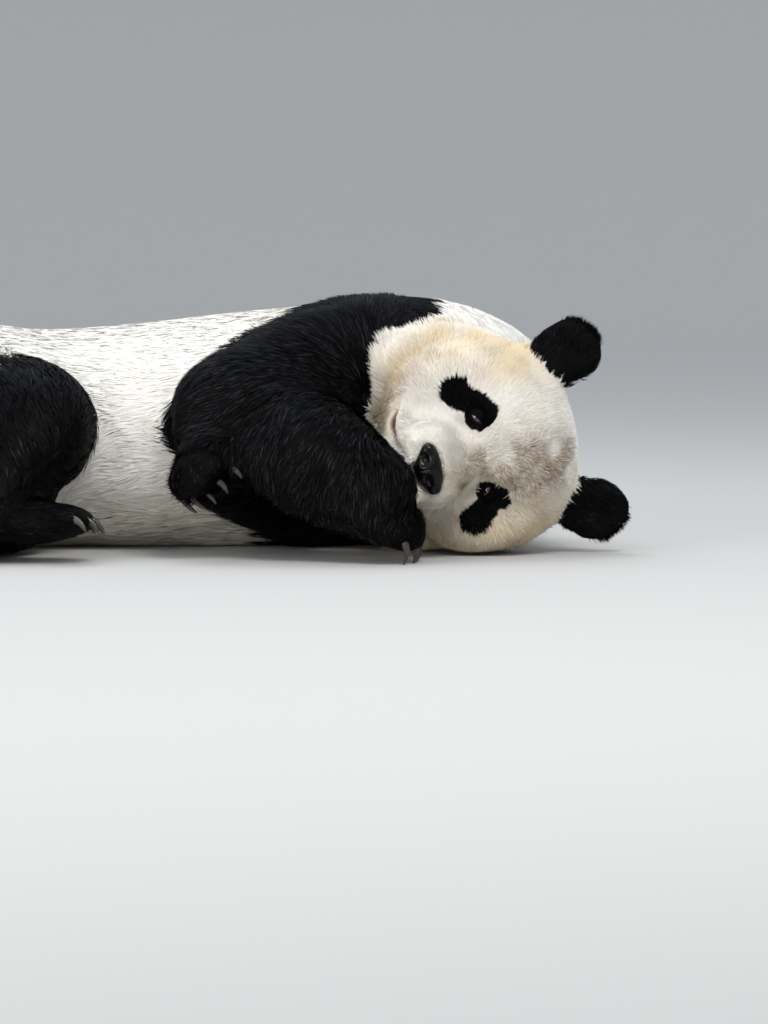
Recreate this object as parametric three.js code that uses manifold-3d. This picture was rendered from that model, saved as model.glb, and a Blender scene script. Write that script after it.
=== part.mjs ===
// A giant panda asleep on its left side and chest, life size, as a still museum model.
//
// Units are millimetres. +Z is up, the floor is z = 0, and the animal's chest-to-rump line runs
// along -X, so that its face, belly and paws look along -Y. Every soft mass is a distance field,
// made of named muscles and bones that melt into each other. A net of quads is drawn over each
// field, and the pieces are then trimmed by one another with a thin gap.
import * as THREE from "three";
import { mergeVertices } from "three/addons/utils/BufferGeometryUtils.js";
import Module from "manifold-3d";

const wasm = await Module();
wasm.setup();

// ---------------------------------------------------------------- driving dimensions
const GAP = 0.5; // between neighbouring pieces
const EYE_SPAN = 92; // between the centres of the two eyes
const HEAD_HALF_WIDTH = 146; // midline to the outside of a cheek
const FORELEG_R = 76; // radius of a forearm below the elbow
const NOSE_HALF_WIDTH = 34;
const EAR_R = 49;
const EYE_R = 11.5;
const EYE_FORWARD = 10; // from the bridge's frame to the middle of an eye
const CLAW_LENGTH = 29;
const CLAW_R = 5.6; // at its root
const REACH = 2500; // side of the blocks that make a plane cut, well beyond the animal

// The head lies on its left cheek: its crown points along +X, rolled and nodded a little.
const HEAD_AT = [125, -20, 131]; // half way between the eyes
const HEAD_ROLL = 82; // degrees from upright, towards the left cheek
const HEAD_NOD = 10; // degrees, chin towards the chest
const HEAD_TURN = 5; // degrees, nose towards the floor

// Cell sizes of the nets: fine on the face, coarse where the form is plain.
const CELL = { nose: 9, head: 20, ear: 16, paw: 19, limb: 34, trunk: 46, tail: 28 };

const MATERIALS = {
  white_fur: { color: 0xe6ddcf, roughness: 0.95 },
  black_fur: { color: 0x15130f, roughness: 0.9 },
  nose_skin: { color: 0x0c0b0b, roughness: 0.35 },
  eye: { color: 0x1a0f0a, roughness: 0.08 },
  claw: { color: 0x9a9184, roughness: 0.35 },
};

// ---------------------------------------------------------------- frames
const vector = (p) => new THREE.Vector3(...p);

// A frame at a point, looking forward, with its back or crown up. Its local coordinates are
// right, up and forward, in that order, as the animal has them, so it is left-handed.
function frameAt(origin, forward, up) {
  const f = vector(forward).normalize();
  const r = new THREE.Vector3().crossVectors(f, vector(up)).normalize();
  const u = new THREE.Vector3().crossVectors(r, f);
  return new THREE.Matrix4().makeBasis(r, u, f).setPosition(...origin);
}

function headFrame() {
  const roll = THREE.MathUtils.degToRad(HEAD_ROLL);
  const nod = THREE.MathUtils.degToRad(HEAD_NOD);
  const crown = new THREE.Vector3(Math.sin(roll), 0, Math.cos(roll));
  const face = new THREE.Vector3(0, -1, 0);
  const forward = face.clone().multiplyScalar(Math.cos(nod)).addScaledVector(crown, -Math.sin(nod));
  const up = crown.clone().multiplyScalar(Math.cos(nod)).addScaledVector(face, Math.sin(nod));
  forward.applyAxisAngle(up, THREE.MathUtils.degToRad(HEAD_TURN));
  return frameAt(HEAD_AT, forward.toArray(), up.toArray());
}

const HEAD = headFrame();
const inHead = (p) => vector(p).applyMatrix4(HEAD).toArray();

// ---------------------------------------------------------------- fields
// A field takes x, y, z and gives about the distance to a surface, negative inside it.

// A limb or body segment between two stations, each [x, y, z, half-width, half-height].
function segment(a, b) {
  const [dx, dy, dz] = [b[0] - a[0], b[1] - a[1], b[2] - a[2]];
  const length2 = dx * dx + dy * dy + dz * dz;
  return (x, y, z) => {
    const along = ((x - a[0]) * dx + (y - a[1]) * dy + (z - a[2]) * dz) / length2;
    const t = Math.min(1, Math.max(0, along));
    const [qx, qy, qz] = [x - a[0] - t * dx, y - a[1] - t * dy, z - a[2] - t * dz];
    const wide = a[3] + t * (b[3] - a[3]);
    const high = a[4] + t * (b[4] - a[4]);
    const reach = Math.hypot(qx, qy, qz);
    const share = Math.hypot(Math.hypot(qx, qy) / wide, qz / high);
    return share < 1e-6 ? -Math.min(wide, high) : reach - reach / share;
  };
}

// An ellipsoid with its radii along a frame's right, up and forward.
function ellipsoid(frame, at, radii) {
  const inverse = frame.clone().invert().elements;
  return (x, y, z) => {
    const local = [0, 1, 2].map(
      (i) => inverse[i] * x + inverse[4 + i] * y + inverse[8 + i] * z + inverse[12 + i] - at[i],
    );
    const reach = Math.hypot(...local);
    const share = Math.hypot(...local.map((v, i) => v / radii[i]));
    return share < 1e-6 ? -Math.min(...radii) : reach - reach / share;
  };
}

function softMin(a, b, blend) {
  const h = Math.max(blend - Math.abs(a - b), 0) / blend;
  return Math.min(a, b) - (h * h * blend) / 4;
}

// Masses that melt into each other over a blend length.
function melt(blend, ...fields) {
  return (x, y, z) => fields.reduce((d, f) => softMin(d, f(x, y, z), blend), 1e6);
}

// A field with soft hollows pressed into it.
function hollowed(blend, field, ...hollows) {
  return (x, y, z) =>
    hollows.reduce((d, f) => -softMin(-d, f(x, y, z), blend), field(x, y, z));
}

// A chain of round segments through joints, each [x, y, z, radius].
function chain(blend, ...joints) {
  const stations = joints.map(([x, y, z, r]) => [x, y, z, r, r]);
  return melt(blend, ...stations.slice(1).map((s, i) => segment(stations[i], s)));
}

// A smooth body through a few stations, with Catmull-Rom steps between them.
function body(stations, steps) {
  const at = (i) => stations[Math.min(stations.length - 1, Math.max(0, i))];
  const blended = (i, t) =>
    at(i).map((p, c) => {
      const [before, next, after] = [at(i - 1)[c], at(i + 1)[c], at(i + 2)[c]];
      const a = 2 * p;
      const b = next - before;
      const e = 2 * before - 5 * p + 4 * next - after;
      const g = 3 * p - before - 3 * next + after;
      return (a + b * t + e * t * t + g * t * t * t) / 2;
    });
  const fine = [];
  for (let i = 0; i < stations.length - 1; i++)
    for (let s = 0; s < steps; s++) fine.push(blended(i, s / steps));
  fine.push(at(stations.length - 1));
  const parts = fine.slice(1).map((s, i) => segment(fine[i], s));
  return (x, y, z) => parts.reduce((d, f) => Math.min(d, f(x, y, z)), 1e6);
}

// ---------------------------------------------------------------- nets
function gradient(field, p, step) {
  return [0, 1, 2].map((i) => {
    const [more, less] = [[...p], [...p]];
    more[i] += step;
    less[i] -= step;
    return (field(...more) - field(...less)) / (2 * step);
  });
}

// Moves a point onto the field's surface.
function settle(field, p, cell) {
  for (let turn = 0; turn < 4; turn++) {
    const g = gradient(field, p, cell / 20);
    const slope2 = g[0] ** 2 + g[1] ** 2 + g[2] ** 2;
    const move = field(...p) / Math.max(slope2, 0.05);
    const most = cell / 3 / Math.max(Math.hypot(...g), 1e-6);
    const capped = Math.min(most, Math.max(-most, move));
    p = p.map((v, i) => v - capped * g[i]);
  }
  return p;
}

// The crossed edges of a cell, grouped by the sheet of surface that they lie on. An edge is
// numbered by its axis and its offsets along the next two axes; inside tells of each corner.
function sheets(inside) {
  const edge = (axis, m, n) => axis * 4 + m + 2 * n;
  const corner = (axis, along, m, n) => {
    const c = [0, 0, 0];
    [c[axis], c[(axis + 1) % 3], c[(axis + 2) % 3]] = [along, m, n];
    return inside[c[0] + 2 * c[1] + 4 * c[2]];
  };
  const crossed = (id) => {
    const [axis, m, n] = [id >> 2, id & 1, (id >> 1) & 1];
    return corner(axis, 0, m, n) !== corner(axis, 1, m, n);
  };
  const sheetOf = Array.from({ length: 12 }, (_, id) => id);
  const link = (a, b) => {
    const [from, to] = [sheetOf[a], sheetOf[b]];
    sheetOf.forEach((s, id) => {
      if (s === from) sheetOf[id] = to;
    });
  };
  for (let face = 0; face < 6; face++) {
    const [normal, side] = [face >> 1, face & 1];
    const [g, h] = [(normal + 1) % 3, (normal + 2) % 3];
    const edges = [edge(g, 0, side), edge(g, 1, side), edge(h, side, 0), edge(h, side, 1)];
    const cut = edges.filter(crossed);
    if (cut.length === 2) link(...cut);
    if (cut.length === 4)
      for (const [i, j] of [[0, 0], [0, 1], [1, 0], [1, 1]])
        if (corner(normal, side, i, j)) link(edge(g, j, side), edge(h, side, i));
  }
  const groups = new Map();
  for (let id = 0; id < 12; id++)
    if (crossed(id)) groups.set(sheetOf[id], [...(groups.get(sheetOf[id]) ?? []), id]);
  return [...groups.values()];
}

// A closed net of quads over a field's surface inside a box: a point for each sheet in each cell.
function net(field, low, high, cell) {
  const size = low.map((v, i) => Math.ceil((high[i] - v) / cell) + 1);
  const index = (i, j, k) => (k * size[1] + j) * size[0] + i;
  const corner = (c) => low.map((v, axis) => v + c[axis] * cell);
  const values = new Float32Array(size[0] * size[1] * size[2]);
  for (let k = 0; k < size[2]; k++)
    for (let j = 0; j < size[1]; j++)
      for (let i = 0; i < size[0]; i++) values[index(i, j, k)] = field(...corner([i, j, k]));

  const crossing = (cellAt, id) => {
    const axis = id >> 2;
    const start = [...cellAt];
    start[(axis + 1) % 3] += id & 1;
    start[(axis + 2) % 3] += (id >> 1) & 1;
    const end = [...start];
    end[axis] += 1;
    const [a, b] = [values[index(...start)], values[index(...end)]];
    const at = corner(start);
    at[axis] += (cell * a) / (a - b);
    return at;
  };
  const points = [];
  const pointOf = new Map();
  for (let k = 0; k < size[2] - 1; k++)
    for (let j = 0; j < size[1] - 1; j++)
      for (let i = 0; i < size[0] - 1; i++) {
        const inside = [0, 1, 2, 3, 4, 5, 6, 7].map(
          (c) => values[index(i + (c & 1), j + ((c >> 1) & 1), k + (c >> 2))] < 0,
        );
        if (inside.every((v) => v === inside[0])) continue;
        for (const sheet of sheets(inside)) {
          const found = sheet.map((id) => crossing([i, j, k], id));
          sheet.forEach((id) => pointOf.set(index(i, j, k) * 12 + id, points.length));
          points.push([0, 1, 2].map((c) => found.reduce((s, p) => s + p[c], 0) / found.length));
        }
      }

  const quads = [];
  for (let k = 1; k < size[2] - 1; k++)
    for (let j = 1; j < size[1] - 1; j++)
      for (let i = 1; i < size[0] - 1; i++)
        for (let axis = 0; axis < 3; axis++) {
          const end = [i, j, k];
          end[axis] += 1;
          const [a, b] = [values[index(i, j, k)] < 0, values[index(...end)] < 0];
          if (a === b) continue;
          const around = [[0, 0], [1, 0], [1, 1], [0, 1]].map(([m, n]) => {
            const c = [i, j, k];
            c[(axis + 1) % 3] -= m;
            c[(axis + 2) % 3] -= n;
            return pointOf.get(index(...c) * 12 + axis * 4 + m + 2 * n);
          });
          quads.push(a ? around : around.reverse());
        }
  return { points: relaxed(points, quads, field, cell), quads };
}

// Evens a net out: each point moves to the middle of its neighbours and back onto the surface.
function relaxed(points, quads, field, cell) {
  const neighbours = points.map(() => new Set());
  for (const quad of quads)
    quad.forEach((p, i) => {
      neighbours[p].add(quad[(i + 1) % 4]);
      neighbours[quad[(i + 1) % 4]].add(p);
    });
  for (let turn = 0; turn < 3; turn++) {
    const moved = points.map((p, i) => {
      const around = [...neighbours[i]].map((n) => points[n]);
      return p.map((v, c) => (v + around.reduce((s, q) => s + q[c], 0) / around.length) / 2);
    });
    points = moved.map((p) => settle(field, p, cell));
  }
  return points;
}

// ---------------------------------------------------------------- solids
function solidOf(points, triangles) {
  return new wasm.Manifold(
    new wasm.Mesh({
      numProp: 3,
      vertProperties: new Float32Array(points.flat()),
      triVerts: new Uint32Array(triangles.flat()),
    }),
  );
}

// Each quad of a net is split along its shorter diagonal.
function netSolid(field, low, high, cell) {
  const { points, quads } = net(field, low, high, cell);
  const far = (a, b) => Math.hypot(...points[a].map((v, i) => v - points[b][i]));
  const triangles = quads.flatMap(([a, b, c, d]) =>
    far(a, c) < far(b, d) ? [[a, b, c], [a, c, d]] : [[a, b, d], [b, c, d]],
  );
  return solidOf(points, triangles);
}

function geometrySolid(geometry) {
  const bare = geometry.clone().deleteAttribute("normal").deleteAttribute("uv");
  const merged = mergeVertices(bare, 1e-3);
  return new wasm.Manifold(
    new wasm.Mesh({
      numProp: 3,
      vertProperties: new Float32Array(merged.attributes.position.array),
      triVerts: new Uint32Array(merged.index.array),
    }),
  );
}

function geometryOf(solid) {
  const mesh = solid.getMesh();
  return new THREE.BufferGeometry()
    .setAttribute("position", new THREE.BufferAttribute(mesh.vertProperties, 3))
    .setIndex(new THREE.BufferAttribute(mesh.triVerts, 1));
}

// The solid with each point moved out along its normal, to trim a neighbour with a gap.
function grown(solid) {
  const geometry = geometryOf(solid);
  geometry.computeVertexNormals();
  const { position, normal } = geometry.attributes;
  const moved = position.array.map((v, i) => v + GAP * normal.array[i]);
  const triVerts = new Uint32Array(geometry.index.array);
  return new wasm.Manifold(new wasm.Mesh({ numProp: 3, vertProperties: moved, triVerts }));
}

// Everything behind a cut frame's plane, or in front of it; each stops half a gap short.
function beyond(cut, ahead = false) {
  const side = ahead ? 1 : -1;
  const block = new THREE.BoxGeometry(REACH, REACH, REACH);
  block.translate(0, 0, side * (REACH / 2 - GAP / 2));
  block.scale(-1, 1, 1); // the left-handed frame turns it the right way out again
  return geometrySolid(block.applyMatrix4(cut));
}

const touching = (a, b) => {
  const [p, q] = [a.boundingBox(), b.boundingBox()];
  return [0, 1, 2].every((i) => p.min[i] <= q.max[i] && q.min[i] <= p.max[i]);
};

const largest = (solid) =>
  solid.decompose().reduce((most, one) => (one.volume() > most.volume() ? one : most));

// Everything below the floor.
const FLOOR = geometrySolid(
  new THREE.BoxGeometry(REACH, REACH, REACH).translate(0, 0, -REACH / 2),
);

// ---------------------------------------------------------------- the head
const MIRROR = [1, -1]; // the animal's right, then its left

// The skull, cheeks and muzzle, in the head's own right, up and forward.
function headField() {
  const mass = (at, radii) => ellipsoid(HEAD, at, radii);
  const pair = (at, radii) => MIRROR.map((s) => mass([s * at[0], at[1], at[2]], radii));
  const skull = melt(
    30,
    mass([0, 14, -62], [126, 97, 92]), // braincase
    mass([0, 28, -10], [62, 50, 40]), // brow
    ...pair([88, -28, -48], [HEAD_HALF_WIDTH - 88, 72, 60]), // cheeks
  );
  const muzzle = melt(
    22,
    mass([-2, -50, 28], [54, 42, 54]), // bridge and snout
    ...pair([25, -70, 46], [31, 27, 32]), // whisker pads
    mass([-2, -103, 26], [43, 26, 48]), // chin
    mass([0, -98, -10], [74, 40, 52]), // jaw
  );
  const ruff = mass([5, -44, -74], [161, 146, 60]);
  const sockets = pair([52, -4, 36], [24, 19, 17]);
  return hollowed(20, melt(16, melt(30, skull, muzzle), ruff), ...sockets);
}

// The middle and root of each ear in the head's frame; the left one is pushed back by the floor.
const EARS = {
  right: { at: [103, 113, -68], root: [79, 60, -74] },
  left: { at: [-100, 118, -70], root: [-78, 62, -74] },
};

// A round cupped ear. Its frame stands at the middle of the rim's circle, facing out of the cup.
function earField(frame, root) {
  const disc = ellipsoid(frame, [0, 0, -4], [EAR_R, EAR_R - 2, 18]);
  const cup = ellipsoid(frame, [0, -4, 16], [EAR_R - 17, EAR_R - 16, 15]);
  const behind = vector([0, -22, -8]).applyMatrix4(frame).toArray();
  const stalk = chain(10, [...root, 31], [...behind, 26]);
  return hollowed(8, melt(16, disc, stalk), cup);
}

function eyeSolid(side) {
  const sphere = new THREE.SphereGeometry(EYE_R, 12, 8);
  return geometrySolid(sphere.translate(...inHead([(side * EYE_SPAN) / 2, 0, EYE_FORWARD])));
}

// The bare nose: a broad pad, narrower below, with a nostril on each side.
function noseField() {
  const pad = ellipsoid(HEAD, [-1, -56, 79], [NOSE_HALF_WIDTH, 13, 15]);
  const lower = ellipsoid(HEAD, [-1, -65, 80], [18, 12, 12]);
  const nostrils = MIRROR.map((s) => ellipsoid(HEAD, [s * 15 - 1, -58, 94], [6, 4.5, 8]));
  return hollowed(4, melt(8, pad, lower), ...nostrils);
}

// ---------------------------------------------------------------- paws and claws
// A paw's frame stands at its wrist or ankle, looking towards the toes, with its back up.
const FOREPAW = {
  palm: { at: [0, -4, 28], radii: [47, 29, 44] },
  toe: { count: 5, spacing: 18, start: 50, length: 24, radius: 13, drop: 2 },
};
const HINDPAW = {
  palm: { at: [0, -6, 66], radii: [44, 29, 84] },
  toe: { count: 5, spacing: 17, start: 128, length: 24, radius: 14, drop: 0 },
};

// The knuckle and tip of each toe, and the way its claw points, fanned and curled by a paw.
function toes({ toe }, frame, curl) {
  const bend = THREE.MathUtils.degToRad(curl);
  return Array.from({ length: toe.count }, (_, i) => {
    const across = i - (toe.count - 1) / 2;
    const back = Math.abs(across) ** 2 * 4; // the outer toes start further back
    const fan = across * 0.09;
    const knuckle = [across * toe.spacing, -toe.drop, toe.start - back];
    const way = [Math.sin(fan), -Math.sin(bend) * Math.cos(fan), Math.cos(bend) * Math.cos(fan)];
    const tip = knuckle.map((v, c) => v + toe.length * way[c]);
    const point = [way[0], -Math.sin(bend + 0.35), Math.cos(bend + 0.35)];
    const place = (p) => vector(p).applyMatrix4(frame).toArray();
    return { knuckle: place(knuckle), tip: place(tip), way: vector(point).transformDirection(frame) };
  });
}

function pawField(shape, frame, curl) {
  const palm = ellipsoid(frame, shape.palm.at, shape.palm.radii);
  const r = shape.toe.radius;
  const fingers = toes(shape, frame, curl).map(({ knuckle, tip }) =>
    segment([...knuckle, r + 2, r + 2], [...tip, r - 1, r - 1]),
  );
  return melt(14, palm, melt(5, ...fingers));
}

// A curved claw, rooted in its toe: rings that shrink along an arc to a point. It may be swollen
// a little all round, to trim what lies about it.
function clawSolid({ tip, way }, frame, swell = 0) {
  const [rings, sides] = [3, 6];
  const root = vector(tip).addScaledVector(way, -6);
  const back = new THREE.Vector3(0, 1, 0).transformDirection(frame);
  const side = new THREE.Vector3().crossVectors(way, back).normalize();
  const top = new THREE.Vector3().crossVectors(side, way).normalize();
  const arch = (t) => 7 * (1 - (1 - t) ** 2) - 12 * t * t; // up over the toe, then down
  const centreAt = (t, further = 0) =>
    root.clone().addScaledVector(way, CLAW_LENGTH * t + further).addScaledVector(top, arch(t));
  const points = [];
  for (let ring = 0; ring < rings; ring++) {
    const radius = CLAW_R * (1 - 0.7 * (ring / rings)) + swell;
    for (let s = 0; s < sides; s++) {
      const angle = (2 * Math.PI * s) / sides;
      const p = centreAt(ring / rings, ring ? 0 : -swell);
      p.addScaledVector(side, 0.75 * radius * Math.cos(angle));
      points.push(p.addScaledVector(top, radius * Math.sin(angle)).toArray());
    }
  }
  const last = (rings - 1) * sides;
  const [point, base] = [rings * sides, rings * sides + 1];
  const tipAhead = centreAt(1).sub(centreAt(1 - 1 / rings)).setLength(4 * swell + 1e-6);
  points.push(centreAt(1).add(tipAhead).toArray(), centreAt(0, -swell).toArray());
  const triangles = [];
  for (let s = 0; s < sides; s++) {
    const next = (s + 1) % sides;
    for (let ring = 0; ring < last; ring += sides) {
      const [a, b] = [ring + s, ring + next];
      triangles.push([a, b, b + sides], [a, b + sides, a + sides]);
    }
    triangles.push([last + s, last + next, point], [next, s, base]);
  }
  const made = solidOf(points, triangles);
  return made.volume() > 0 ? made : solidOf(points, triangles.map((t) => t.reverse()));
}

// ---------------------------------------------------------------- trunk, neck and tail
// Stations from the chest back to the rump: x, y, z, half-width and half-height.
const TRUNK = [
  [110, 205, 136, 112, 142],
  [20, 225, 151, 168, 163],
  [-130, 240, 147, 206, 159],
  [-290, 246, 138, 224, 150],
  [-430, 244, 133, 216, 145],
  [-550, 220, 134, 190, 146],
  [-622, 188, 120, 134, 124],
];

const NECK = [
  [55, 215, 163, 132, 138],
  [100, 172, 160, 132, 136],
  [110, 95, 148, 118, 122],
];

function torsoField() {
  const shoulder = chain(20, [10, 150, 205, 92], [-50, 150, 224, 84]);
  const haunch = chain(20, [-548, 140, 158, 124], [-490, 100, 156, 108]);
  return melt(60, body(TRUNK, 4), body(NECK, 3), shoulder, haunch);
}

// Joints from its root to its tip: x, y, z and radius.
const TAIL = [
  [-640, 262, 160, 42],
  [-712, 276, 124, 38],
  [-744, 268, 78, 27],
];

// The planes where the neck parts from the trunk and the head, facing away from the neck.
const TRUNK_CUT = frameAt([75, 190, 150], [-0.94, 0.34, 0], [0, 0, 1]);
const HEAD_CUT = frameAt(inHead([0, -20, -112]), [0, -1, 0], [0, 0, 1]);

// ---------------------------------------------------------------- limbs
// Joints of each leg, from the body outwards: x, y, z and radius.
const LEGS = {
  foreleg_right: [
    [-8, 162, 228, 100],
    [-100, 78, 206, 94],
    [-186, -10, 176, 79],
    [-86, -68, 126, FORELEG_R + 2],
    [-12, -100, 84, FORELEG_R - 14],
  ],
  foreleg_left: [
    [90, 165, 96, 76],
    [-100, 165, 66, 68],
    [-204, -34, 100, 48],
  ],
  hindleg_right: [
    [-552, 140, 168, 126],
    [-446, 0, 160, 86],
    [-500, -92, 66, 52],
  ],
  hindleg_left: [
    [-560, 150, 106, 104],
    [-486, 22, 76, 74],
    [-604, -44, 54, 50],
  ],
};
const PAWS = {
  forepaw_right: {
    shape: FOREPAW,
    frame: frameAt([-14, -104, 66], [0.86, 0.05, -0.42], [0.45, -0.15, 0.86]),
    curl: 38,
  },
  forepaw_left: {
    shape: FOREPAW,
    frame: frameAt([-225, -54, 131], [-0.2, -0.84, -0.48], [-0.69, -0.22, 0.68]),
    curl: 72,
  },
  hindpaw_right: {
    shape: HINDPAW,
    frame: frameAt([-508, -100, 56], [1, -0.06, 0.0], [0, 0.1, 1]),
    curl: 14,
  },
  hindpaw_left: {
    shape: HINDPAW,
    frame: frameAt([-608, -46, 44], [0.42, -0.9, 0], [-0.2, 0, 1]),
    curl: 14,
  },
};

// ---------------------------------------------------------------- the pieces
const panda = new THREE.Group();
const cutters = []; // what is already in place, grown by the gap

// Adds a piece, trimmed by what is already in place and by the floor. It trims later pieces in
// its turn, by its own solid or by a larger one that it belongs to.
function addPiece(name, material, raw, cutter = raw) {
  const near = cutters.filter((other) => touching(raw, other));
  const solid = largest(near.reduce((left, other) => left.subtract(other), raw).subtract(FLOOR));
  const mesh = new THREE.Mesh(geometryOf(solid), new THREE.MeshStandardMaterial(MATERIALS[material]));
  mesh.name = name;
  panda.add(mesh);
  if (cutter) cutters.push(grown(cutter));
}

// A field's solid, in a box that holds some spheres, each x, y, z and radius.
function softSolid(field, spheres, cell) {
  const reach = (s) => Math.max(...s.slice(3)) + 1.5 * cell;
  const low = [0, 1, 2].map((i) => Math.min(...spheres.map((s) => s[i] - reach(s))));
  const high = [0, 1, 2].map((i) => Math.max(...spheres.map((s) => s[i] + reach(s))));
  return netSolid(field, low, high, cell);
}

addPiece("eye_right", "eye", eyeSolid(1));
addPiece("eye_left", "eye", eyeSolid(-1));
const noseRoom = [[...inHead([0, -58, 78]), NOSE_HALF_WIDTH + 6]];
addPiece("nose", "nose_skin", softSolid(noseField(), noseRoom, CELL.nose));
for (const [name, { shape, frame, curl }] of Object.entries(PAWS))
  toes(shape, frame, curl).forEach((toe, i) => {
    addPiece(`claw_${name}_${i + 1}`, "claw", clawSolid(toe, frame), clawSolid(toe, frame, GAP));
  });

const torso = torsoField();
const torsoSolid = softSolid(torso, [...TRUNK, ...NECK], CELL.trunk);
const headSolid = softSolid(headField(), [[...inHead([0, -25, -40]), 185]], CELL.head);
addPiece("head", "white_fur", headSolid.subtract(beyond(HEAD_CUT)), headSolid);

for (const [side, { at, root }] of Object.entries(EARS)) {
  const lean = side === "right" ? 1 : -1;
  const turned = (way) => vector(way).transformDirection(HEAD).toArray();
  const frame = frameAt(inHead(at), turned([0.3 * lean, 0.05, 1]), turned([0.35 * lean, 1, 0]));
  const solid = softSolid(earField(frame, inHead(root)), [[...inHead(at), 1.9 * EAR_R]], CELL.ear);
  addPiece(`ear_${side}`, "black_fur", solid);
}

const PAW_REACH = 115; // from the middle of a palm to beyond its toes and heel
for (const [name, { shape, frame, curl }] of Object.entries(PAWS)) {
  const middle = vector(shape.palm.at).applyMatrix4(frame).toArray();
  const solid = softSolid(pawField(shape, frame, curl), [[...middle, PAW_REACH]], CELL.paw);
  addPiece(name, "black_fur", solid);
}
addPiece("trunk", "white_fur", torsoSolid.subtract(beyond(TRUNK_CUT)), null);
addPiece("neck", "white_fur", torsoSolid.subtract(beyond(TRUNK_CUT, true)), torsoSolid);
for (const [name, joints] of Object.entries(LEGS)) {
  addPiece(name, "black_fur", softSolid(chain(24, ...joints), joints, CELL.limb));
}

addPiece("tail", "white_fur", softSolid(chain(16, ...TAIL), TAIL, CELL.tail));

// The group's origin goes to the middle of the model's footprint, on the floor.
const footprint = new THREE.Box3().setFromObject(panda).getCenter(new THREE.Vector3());
panda.position.set(-footprint.x, -footprint.y, 0);

export default panda;
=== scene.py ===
"""The looks of a giant panda asleep on its left side: one skin, its coat, eyes, nose and claws."""

import math

import bmesh
import bpy
import numpy as np
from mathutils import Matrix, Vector
from mathutils.bvhtree import BVHTree


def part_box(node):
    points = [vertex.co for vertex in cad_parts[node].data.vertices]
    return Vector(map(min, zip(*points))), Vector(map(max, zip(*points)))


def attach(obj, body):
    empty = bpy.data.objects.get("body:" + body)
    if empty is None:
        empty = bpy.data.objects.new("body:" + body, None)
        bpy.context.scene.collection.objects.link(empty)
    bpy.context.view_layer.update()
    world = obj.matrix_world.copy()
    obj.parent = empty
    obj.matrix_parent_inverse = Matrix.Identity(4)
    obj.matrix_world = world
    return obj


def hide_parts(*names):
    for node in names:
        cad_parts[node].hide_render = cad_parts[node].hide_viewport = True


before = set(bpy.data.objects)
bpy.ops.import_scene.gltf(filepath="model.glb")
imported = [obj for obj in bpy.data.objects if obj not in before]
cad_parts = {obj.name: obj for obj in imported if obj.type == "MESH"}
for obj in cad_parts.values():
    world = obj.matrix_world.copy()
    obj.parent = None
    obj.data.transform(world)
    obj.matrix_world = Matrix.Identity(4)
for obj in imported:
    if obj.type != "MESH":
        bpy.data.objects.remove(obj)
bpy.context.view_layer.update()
rng = np.random.default_rng(7)

# ---------------------------------------------------------------- the head's frame
# Places are given from the middle of the eyes, either along X, Y, Z or in the head's own frame:
# towards the animal's right, its crown and its face. Lengths are in metres unless a comment says
# millimetres.


def centre(node):
    low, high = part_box(node)
    return (np.array(low) + np.array(high)) / 2


EYE_RIGHT, EYE_LEFT, NOSE = centre("eye_right"), centre("eye_left"), centre("nose")
FACE = (EYE_RIGHT + EYE_LEFT) / 2
NOSE_UP, NOSE_FORWARD = -0.059, 0.069  # the nose from the middle of the eyes, as in the solids
EYE_R = 0.0115  # radius of an eyeball


def head_axes():
    right = EYE_RIGHT - EYE_LEFT
    right /= np.linalg.norm(right)
    towards = NOSE - FACE
    towards -= right * (towards @ right)
    towards /= np.linalg.norm(towards)
    reach = math.hypot(NOSE_UP, NOSE_FORWARD)
    forward = (NOSE_FORWARD * towards - NOSE_UP * np.cross(right, towards)) / reach
    return np.array([right, np.cross(right, forward), forward])


HEAD = head_axes()


def in_head(points):
    """Points in the head's frame, from the middle of the eyes."""
    return (points - FACE) @ HEAD.T


NOSE_SIDE = in_head(NOSE)[0]


def from_head(local):
    return FACE + np.asarray(local) @ HEAD


BRIDGE = FACE - 0.010 * HEAD[2]  # the bridge of the nose
BRIDGE_AT = np.array([125.0, -20.0, 131.0])  # millimetres, in the frame of the places below


def at(x, y, z):
    """A place given in millimetres along X, Y and Z, in the frame where BRIDGE is at BRIDGE_AT."""
    return BRIDGE + (np.array([x, y, z]) - BRIDGE_AT) / 1000


# ---------------------------------------------------------------- small tools
TURN, WAVES = 6.28, 7  # a turn, near enough for the phase of a wave, and how many waves are summed


def unit(v):
    return v / np.maximum(np.linalg.norm(v, axis=-1, keepdims=True), 1e-9)


def tangent(d, n):
    return unit(d - n * np.sum(d * n, axis=1, keepdims=True))


def smoothstep(low, high, x):
    t = np.clip((x - low) / (high - low), 0, 1)
    return t * t * (3 - 2 * t)


def bell(x, width):
    """1 at nought, falling to almost nothing at twice the width on either side."""
    return np.exp(-((x / width) ** 2))


def relief(off, forms):
    """Ridges and grooves along a line: each has its height, its place and its half width."""
    return sum(rise * bell(off - place, width) for rise, place, width in forms)


def waves(points, length, seed):
    """Smooth noise from -1 to 1 about, one value a point, that repeats over no short distance."""
    own = np.random.default_rng(seed)
    k = unit(own.normal(size=(WAVES, 3))) * (2 * math.pi / length)
    k *= own.uniform(0.6, 1.5, (WAVES, 1))
    return np.sin(points @ k.T + own.uniform(0, TURN, WAVES)).sum(1) / math.sqrt(WAVES)


def waves3(points, length, seed):
    return np.stack([waves(points, length, seed + i) for i in range(3)], axis=1)


def coordinates(mesh):
    co = np.empty(len(mesh.vertices) * 3)
    mesh.vertices.foreach_get("co", co)
    return co.reshape(-1, 3)


def normals(mesh):
    no = np.empty(len(mesh.vertices) * 3, np.float32)
    mesh.vertices.foreach_get("normal", no)
    return no.reshape(-1, 3).astype(float)


def set_coordinates(mesh, co):
    mesh.vertices.foreach_set("co", co.astype(np.float32).ravel())
    mesh.update()


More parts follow.
